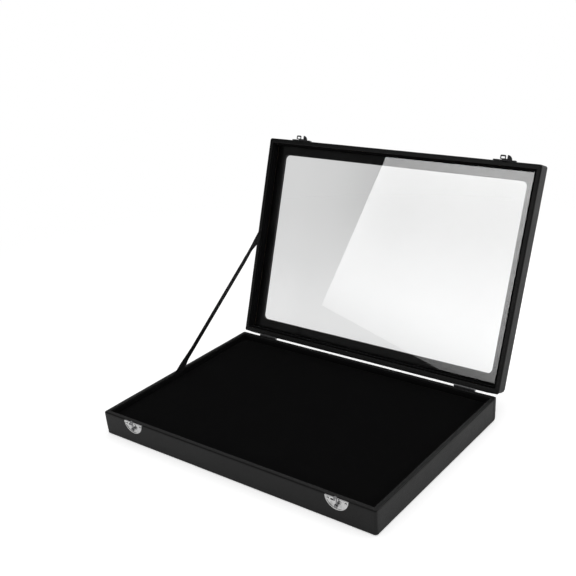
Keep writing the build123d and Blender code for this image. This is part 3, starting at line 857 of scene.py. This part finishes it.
def swell(made, pressure, cap, steps=20):
    """Cloth with pressure inside for some steps, in which no point moves further than cap millimetres."""
    before = [vertex.co.copy() for vertex in made.data.vertices]
    cloth = made.modifiers.new("cloth", "CLOTH")
    cloth.settings.use_pressure = True
    cloth.settings.uniform_pressure_force = pressure
    cloth.settings.effector_weights.gravity = 0.0
    cloth.settings.quality = 4
    cloth.point_cache.frame_start = 1
    cloth.point_cache.frame_end = steps
    for step in range(1, steps + 1):
        scene.frame_set(step)
    settle(made)
    furthest = 0.0
    for vertex, start in zip(made.data.vertices, before):
        moved = vertex.co - start
        furthest = max(furthest, moved.length / MM)
        if moved.length > cap * MM:
            vertex.co = start + moved * (cap * MM / moved.length)
    scene.frame_set(1)
    return furthest


furthest = swell(pad, PAD_PRESSURE, PAD_CAP)
for vertex, (start, outward) in zip(pad.data.vertices, flat_pad):
    x, y, z = (start + outward * max(0.0, (vertex.co - start).dot(outward))) / MM
    x = max(-PAD_HALF_WIDTH, min(PAD_HALF_WIDTH, x))
    y = max(-PAD_HALF_DEPTH, min(PAD_HALF_DEPTH, y))
    vertex.co = Vector((x, y, max(PAD_LOW, z))) * MM
smooth_pad = pad.modifiers.new("smooth", "SUBSURF")
smooth_pad.levels = smooth_pad.render_levels = 1
settle(pad)
pad.data.shade_smooth()
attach(pad, "base")
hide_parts("pad_velvet_cover")
print("pad:", len(pad.data.vertices), "points, which moved", round(furthest, 2), "mm before the cap")

# %% [markdown]
# ## Lining strips
#
# Cards wrapped in velvet line the walls above the pad, and the ones in the lid hold the glass up
# against the frame. A wrapped card has a round top edge and is never quite straight, so each strip
# is a rounded section that is drawn along the wall in short steps, each nudged by slow noise.

# %% Wrapped card
CARD = 1.6  # thickness
CARD_ROUND = 0.75
CARD_SAG, CARD_BOW = 0.22, 0.12
CARD_STEP = 4.0
QUARTER_STEPS = 4


def wrapped_card(name, start, end, inward, low, high, body, place):
    """A velvet-wrapped card along a line in the floor plane, inward from it, between two heights."""
    start, end, inward = Vector(start), Vector(end), Vector(inward)
    section = []
    top, foot = high - CARD_ROUND, low + CARD_ROUND
    gap = CARD / 2 - CARD_ROUND
    for middle, first, way in ((top, 90, -1), (top, 0, 1), (foot, 270, 1), (foot, 180, -1)):
        for step in range(QUARTER_STEPS + 1):
            turn = math.radians(first + 90 * step / QUARTER_STEPS)
            across = CARD / 2 + way * gap + CARD_ROUND * math.cos(turn)
            section.append((CARD - across, middle + CARD_ROUND * math.sin(turn)))
    count = max(2, round((end - start).length / CARD_STEP))
    rings = []
    for step in range(count + 1):
        along = start.lerp(end, step / count)
        wave = noise.noise(Vector((along.x, along.y, low)) * 0.03)
        drop = CARD_SAG * noise.noise(Vector((along.y, along.x, high)) * 0.05)
        points = []
        for deep, height in section:
            level = height + (drop if height > (low + high) / 2 else 0.0)
            bow = CARD_BOW * wave * math.sin(math.pi * (height - low) / (high - low))
            spot = along + inward * min(CARD, max(0.0, deep + bow))
            points.append(Vector((spot.x, spot.y, level)))
        rings.append(points)
    points, faces = joined(rings, around=False)
    sides = len(section)
    faces.append(tuple(range(sides))[::-1])
    faces.append(tuple(range(len(points) - sides, len(points))))
    made = new_piece(name, points, faces, lining_velvet, body, place)
    return made


print("a card's section is", CARD, "mm thick with a radius of", CARD_ROUND, "mm")

# %% [markdown]
# The same four strips go round the walls of the base and of the lid. Those at the front and back run
# full length, and the short ones fit between them, as a maker would cut them.

# %% Lining strips
LINING_HALF_WIDTH, LINING_HALF_DEPTH = 169.5, 114.5


def lining(body, low, high, place):
    """The four strips inside the walls of a body, between two heights."""
    wide, deep = LINING_HALF_WIDTH, LINING_HALF_DEPTH
    walls = {
        "front": ((-wide, -deep, 0), (wide, -deep, 0), (0, 1, 0)),
        "back": ((wide, deep, 0), (-wide, deep, 0), (0, -1, 0)),
        "left": ((-wide, deep - CARD, 0), (-wide, -deep + CARD, 0), (1, 0, 0)),
        "right": ((wide, -deep + CARD, 0), (wide, deep - CARD, 0), (-1, 0, 0)),
    }
    for wall, (start, end, inward) in walls.items():
        strip = wrapped_card(f"{body}_{wall}_card", start, end, inward, low, high, body, place)
        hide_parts(f"{body}_lining_{wall}")


lining("base", 3.6, 26.5, Matrix.Identity(4))
lining("lid", 28.4, 38.3, opened)
strips = [piece.name for piece in scene.objects if piece.name.endswith("_card") and piece != card]
print("lining strips:", strips)

# %% [markdown]
# ## The pane
#
# The lid's window is clear glass, two millimetres thick, with ground edges. Glass in Cycles casts a
# full shadow unless light is let straight through, so rays from lamps meet a Transparent shader
# instead. A faint grey in the glass and a haze of fingermarks make it visible over white. The grey
# is deeper at the upper right, where the tall softbox's reflection lies: painted reflection. Towards
# its foot and at its left edge the glass is clearer.

# %% Glass
clear = Finish("clear_glass")
point = clear.place()
side, _, height = clear.axes(point)
haze = clear.cloud(point, 0.09, 2.0)
marks = clear.cloud(point, 0.012, 3.0, 0.6)
# The tint is lighter towards the pane's foot.
clearer_low_down = 0.08 * (1 - clear.smooth(height, 0.045, 0.125))
# The glass is greyer at the upper right, where the tall softbox's reflection lies: painted reflection, a
# veil over what is behind.
greyer_under_reflection = 0.13 * clear.smooth(side, -0.10, 0.02) * clear.smooth(height, 0.09, 0.20)
left_edge = 0.02 * (1 - clear.smooth(side, -0.135, -0.09))
tint = 0.68 + clearer_low_down - greyer_under_reflection + left_edge + 0.03 * (haze - 0.5) + 0.006 * (marks - 0.5)
cool = tint * 1.004
glass_colour = clear.node("CombineColor", sockets={"Red": tint, "Green": cool, "Blue": cool})
see_through = {"Base Color": glass_colour, "Roughness": 0.0, "IOR": 1.5, "Transmission Weight": 1.0}
glass = clear.node("BsdfPrincipled", sockets=see_through)
open_to_lamps = clear.node("BsdfTransparent", sockets={"Color": (0.88, 0.88, 0.88)})
from_lamp = clear.node("LightPath", output="Is Shadow Ray")
clear.end(clear.node("MixShader", sockets={0: from_lamp, 1: glass, 2: open_to_lamps}))
print("glass finish:", clear.material.name)

# %% [markdown]
# ## Metal
#
# The latches are stamped from thin steel and plated, so they are bright but not perfect mirrors: the
# plating follows small waves of the stamping, and handling leaves fine scratches. The hooks and the
# lid's catches are darker copies of the same steel: on the hooks that is painted shade, and on the
# catches a painted dark reflection. The hinges are plain steel with a duller skin.

# %% Plated and plain steel
def steel(name, base, rough, waves):
    """Bright metal with stamped waves and fine scratches; waves is how deep the stamping is."""
    made = Finish(name)
    point = made.place()
    drawn = made.stretched(point, 1.0, 1.0, 9.0)
    scratches = made.cloud(drawn, 0.0009, 4.0, 0.7)
    stamped = made.cloud(point, 0.0026, 2.0)
    dull = made.smooth(made.cloud(point, 0.005, 3.0), 0.45, 0.75)
    shade = made.mix(dull, base, tuple(0.72 * part for part in base))
    relief = made.bump(scratches, 0.00002, 0.35, made.bump(stamped, waves, 1.0))
    worn = rough + 0.12 * dull + 0.06 * scratches
    return made.skin(Base_Color=shade, Metallic=1.0, Roughness=worn, Normal=relief)


plated = steel("plated_steel", (0.90, 0.90, 0.90), 0.16, 0.00030)
# The catches are a darker copy of the plated steel: a painted dark reflection.
catch_steel_painted_reflection = steel("catch_steel_painted_reflection", (0.30, 0.30, 0.31), 0.24, 0.00030)
# The hooks are a darker copy of the plated steel: painted shade, for the shade that gathers round them.
hook_steel_painted_shade = steel("hook_steel_with_painted_shade", (0.34, 0.34, 0.35), 0.22, 0.00030)
plain_steel = steel("plain_steel", (0.34, 0.34, 0.35), 0.30, 0.00015)
print("metal finishes:", plated.name, catch_steel_painted_reflection.name, hook_steel_painted_shade.name, plain_steel.name)

# %% [markdown]
# ## Boards, foam and paper
#
# Most of the case is hidden: grey card and fibreboard under the leather, foam in the pad, and a
# sheet of black paper glued under the floor. They still get finishes, because the case may be seen
# cut open, or from below.

# %% Board, foam and paper
fibreboard = Finish("fibreboard")
point = fibreboard.place()
long_fibres = fibreboard.stretched(point, 1.0, 3.0, 1.0)
specks = fibreboard.smooth(fibreboard.cells(long_fibres, 0.0016), 0.05, 0.3)
shade = fibreboard.mix(fibreboard.cloud(point, 0.004, 5.0, 0.7), (0.30, 0.22, 0.14), (0.46, 0.37, 0.26))
shade = fibreboard.mix(1 - specks, shade, (0.16, 0.10, 0.06))
fibreboard.skin(Base_Color=shade, Roughness=0.88, Normal=fibreboard.bump(specks, 0.0001, 0.5))

grey_foam = Finish("grey_foam")
point = grey_foam.place()
pores = grey_foam.smooth(grey_foam.cells(point, 0.0008), 0.1, 0.6)
shade = grey_foam.mix(pores, (0.03, 0.03, 0.032), (0.13, 0.13, 0.14))
grey_foam.skin(Base_Color=shade, Roughness=0.95, Normal=grey_foam.bump(pores, 0.0003, 0.8))

black_paper = Finish("black_paper")
point = black_paper.place()
pulp = black_paper.cloud(point, 0.0012, 5.0, 0.75)
patches = black_paper.cloud(point, 0.03, 2.0)
shade = 0.010 + 0.010 * pulp + 0.006 * patches
relief = black_paper.bump(pulp, 0.00012, 0.7)
colour = black_paper.grey(shade, 1.0)
black_paper.skin(Base_Color=colour, Roughness=0.86, Specular_IOR_Level=0.25, Normal=relief)

print("inner finishes:", fibreboard.material.name, grey_foam.material.name, black_paper.material.name)

# %% [markdown]
# The solids that show as they are, such as the metal parts and the pane, get their finish here, and
# so do the hidden ones. Each is found by a word in its name, and the first word that fits counts, so
# "hook" and "rivet" come before "latch", whose plates are brighter.

# %% Finishes for the solids
by_word = {
    "wall": fibreboard.material,
    "board": fibreboard.material,
    "foam": grey_foam.material,
    "underside": black_paper.material,
    "leather": base_leather,
    "lining": lining_velvet,
    "velvet": pad_velvet,
    "ribbon": lining_velvet,
    "hinge": plain_steel,
    "hook": hook_steel_painted_shade,
    "rivet": hook_steel_painted_shade,
    "latch": plated,
    "catch": catch_steel_painted_reflection,
    "window_pane": clear.material,
}
for name, solid in solids.items():
    finish = next(finish for word, finish in by_word.items() if word in name)
    solid.data.materials.clear()
    solid.data.materials.append(finish)
print("finishes given to", len(solids), "solids")

# %% [markdown]
# ## The ribbon that stops the lid
#
# A narrow satin ribbon runs from the base's left wall to the lid's and goes tight when the lid is
# open. Its ends lie flat behind the lining strips. In between, the pull rolls one edge over, so the
# band is a third narrower there. It is built as a flat strip whose upper edge folds back on itself
# away from the ends, and each end fans out unevenly, as the weave is pulled more on one side.
#
# First its way is measured: from where it leaves the base's wall to where it enters the lid's, which
# is turned about the hinges from its place in the shut lid.

# %% Way of the ribbon
RIBBON_X = -169.75
RIBBON_WIDTH, RIBBON_FOLDED = 10.0, 6.7
RIBBON_TAIL = 10.0
hinge = Vector((HINGE_Y, HINGE_Z))


def turned(point):
    """A point (y, z) of the shut lid where the open lid has it."""
    cosine, sine = math.cos(math.radians(OPEN_ANGLE)), math.sin(math.radians(OPEN_ANGLE))
    dy, dz = point.x - hinge.x, point.y - hinge.y
    return hinge + Vector((dy * cosine + dz * sine, -dy * sine + dz * cosine))


base_exit = Vector((-5.4, BASE_TOP))
lid_exit = turned(Vector((-4.7, LID_LOW)))
run = (lid_exit - base_exit).length
line = (lid_exit - base_exit).normalized()
upper_side = Vector((-line.y, line.x))
print("ribbon's free run:", round(run, 1), "mm")

# %% [markdown]
# Satin is woven so that most of its surface is long threads, which makes it shine along them. A wave
# texture draws the threads, and slow noise stands for the slack of the weave.

# %% Satin
def satin():
    """Woven satin: fine threads along and across, polished along the long ones."""
    made = Finish("satin_ribbon")
    point = made.place()
    bands = {"wave_type": "BANDS", "bands_direction": "DIAGONAL"}
    long_threads = made.node("TexWave", bands, {"Vector": point, "Scale": 900.0})
    weave = long_threads * 0.6 + made.cloud(point, 0.0006, 3.0) * 0.4
    slack = made.cloud(point, 0.008, 2.0)
    shade = 0.006 + 0.005 * weave + 0.003 * slack
    colour = made.grey(shade, 1.05)
    relief = made.bump(weave, 0.00005, 0.6)
    worn = 0.42 + 0.14 * slack
    return made.skin(Base_Color=colour, Roughness=worn, Specular_IOR_Level=0.3, Normal=relief)


ribbon_satin = satin()
print("ribbon's finish:", ribbon_satin.name)

# %% [markdown]
# The ribbon's rows of points run from its end in the base to its end in the lid. Where the flat
# strip would pass the folded edge, it turns back and lies a tenth of a millimetre further in, as a
# second layer. The fold starts and ends gently, so that the band tapers.

# %% Rows of the ribbon
LAYER = 0.13


def eased(share):
    """0 to 1 with a soft start and end."""
    share = max(0.0, min(1.0, share))
    return share * share * (3 - 2 * share)


def ribbon_rows():
    """Rows of points across the ribbon, from its end in the base to its end in the lid."""
    rows = []
    steps, columns = 96, 20
    for step in range(steps + 1):
        along = -RIBBON_TAIL + (run + 2 * RIBBON_TAIL) * step / steps
        middle = base_exit + line * along
        low_fold = eased((along - 10.0) / 9.0) * eased((run - 16.0 - along) / 12.0)
        high_fold = eased((along - 6.0) / 28.0) * eased((run - 4.0 - along) / 30.0)
        low_edge = -RIBBON_WIDTH / 2 + low_fold * (RIBBON_WIDTH - RIBBON_FOLDED) / 2
        high_edge = RIBBON_WIDTH / 2 - high_fold * (RIBBON_WIDTH - RIBBON_FOLDED) / 2
        pinch = 0.8 * math.exp(-(((run - 26.0 - along) / 12.0) ** 2))
        row = []
        for column in range(columns + 1):
            flat = low_edge + pinch + RIBBON_WIDTH * column / columns
            over = max(0.0, flat - high_edge)
            sideways = flat - 2 * over
            spot = middle + upper_side * sideways
            row.append(Vector((RIBBON_X + LAYER * eased(over / 0.3), *spot)))
        rows.append(row)
    return rows


rows = ribbon_rows()
print("ribbon's rows:", len(rows), "of", len(rows[0]), "points")

# %% [markdown]
# One end belongs to the base and the other to the lid. The piece is made as it lies with the lid
# open, and is given to neither body.

# %% Ribbon
width = len(rows[0])
points = [point for row in rows for point in row]
faces = [
    (r * width + c, r * width + c + 1, (r + 1) * width + c + 1, (r + 1) * width + c)
    for r in range(len(rows) - 1)
    for c in range(width - 1)
]
ribbon = new_piece("ribbon", points, faces, ribbon_satin, None)
ribbon.data.shade_smooth()
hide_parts("ribbon_stay")
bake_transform(ribbon)

# %% [markdown]
# ## The sheet under the case
#
# A sheet of black paper-backed cloth is glued under the floor and hides where the leather ends. It
# is thin and stuck down, so it only shows slow waves and its cut edge.

# %% Underside sheet
UNDER_HALF_WIDTH, UNDER_HALF_DEPTH = 160.7, 105.7
UNDER_LEVEL, UNDER_WAVES = 0.12, 0.08
steps_x, steps_y = 80, 54
points = []
for row in range(steps_y + 1):
    for column in range(steps_x + 1):
        x = UNDER_HALF_WIDTH * (2 * column / steps_x - 1)
        y = UNDER_HALF_DEPTH * (2 * row / steps_y - 1)
        wave = noise.noise(Vector((x, y, 7.0)) * 0.035) + 0.4 * noise.noise(Vector((x, y, 2.0)) * 0.12)
        points.append(Vector((x, y, UNDER_LEVEL + UNDER_WAVES * wave)))
width = steps_x + 1
faces = [
    (r * width + c, (r + 1) * width + c, (r + 1) * width + c + 1, r * width + c + 1)
    for r in range(steps_y)
    for c in range(steps_x)
]
under_sheet = new_piece("underside_cloth", points, faces, black_paper.material, "base")
under_sheet.data.shade_smooth()
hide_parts("base_underside_sheet")
print("underside sheet:", [round(side / MM, 1) for side in under_sheet.dimensions])

# %% [markdown]
# ## Size
#
# The looks may stand a little proud of the solids, as fabric does. How far they grow the case is
# printed.

# %% Size
shown_low, shown_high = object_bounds()
growth = (shown_high - shown_low) - (solid_high - solid_low)
print("grown by, in mm:", [round(side / MM, 2) for side in growth])
